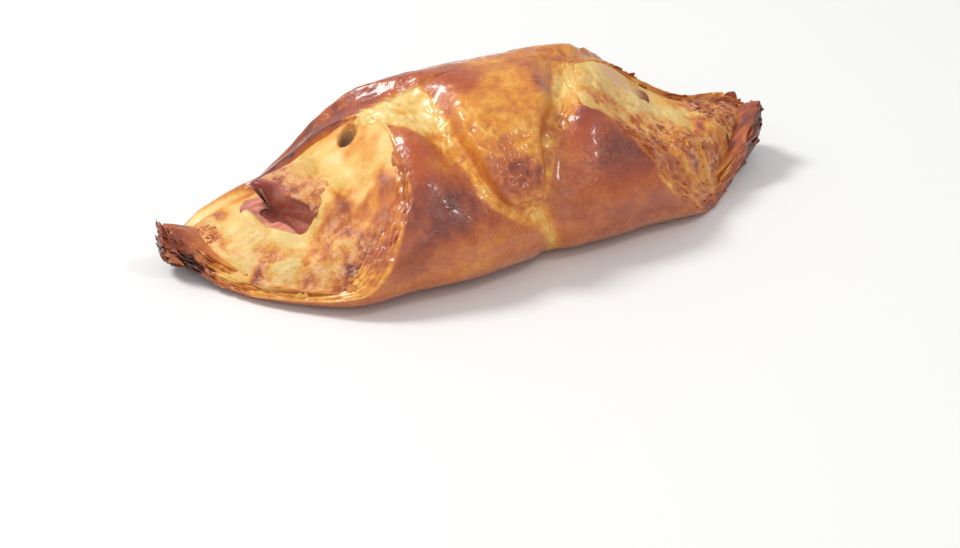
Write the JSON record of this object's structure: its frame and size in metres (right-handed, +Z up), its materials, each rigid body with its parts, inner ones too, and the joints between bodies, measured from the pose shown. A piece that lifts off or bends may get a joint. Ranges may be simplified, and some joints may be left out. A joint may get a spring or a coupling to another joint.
{
  "type": "ham and cheese pocket",
  "caption": "Puff pastry pocket, its corners folded over melted cheese and a folded slice of ham that show at both open ends.",
  "frame": {"origin": "on the flat underside, near the middle of the pocket's length", "axes": "+X along the pocket from its left corner to its right one, +Y to the far side, +Z up"},
  "size_m": [0.1514, 0.0631, 0.037],
  "materials": {
    "baked_crust": "egg-glazed puff pastry, golden to dark brown",
    "melted_cheese": "melted, browned in spots, slightly oily",
    "ham_pink": "cooked, moist"
  },
  "bodies": {
    "root": {"pastry": "baked_crust", "cheese": "melted_cheese", "ham": "ham_pink"}
  },
  "joints": []
}
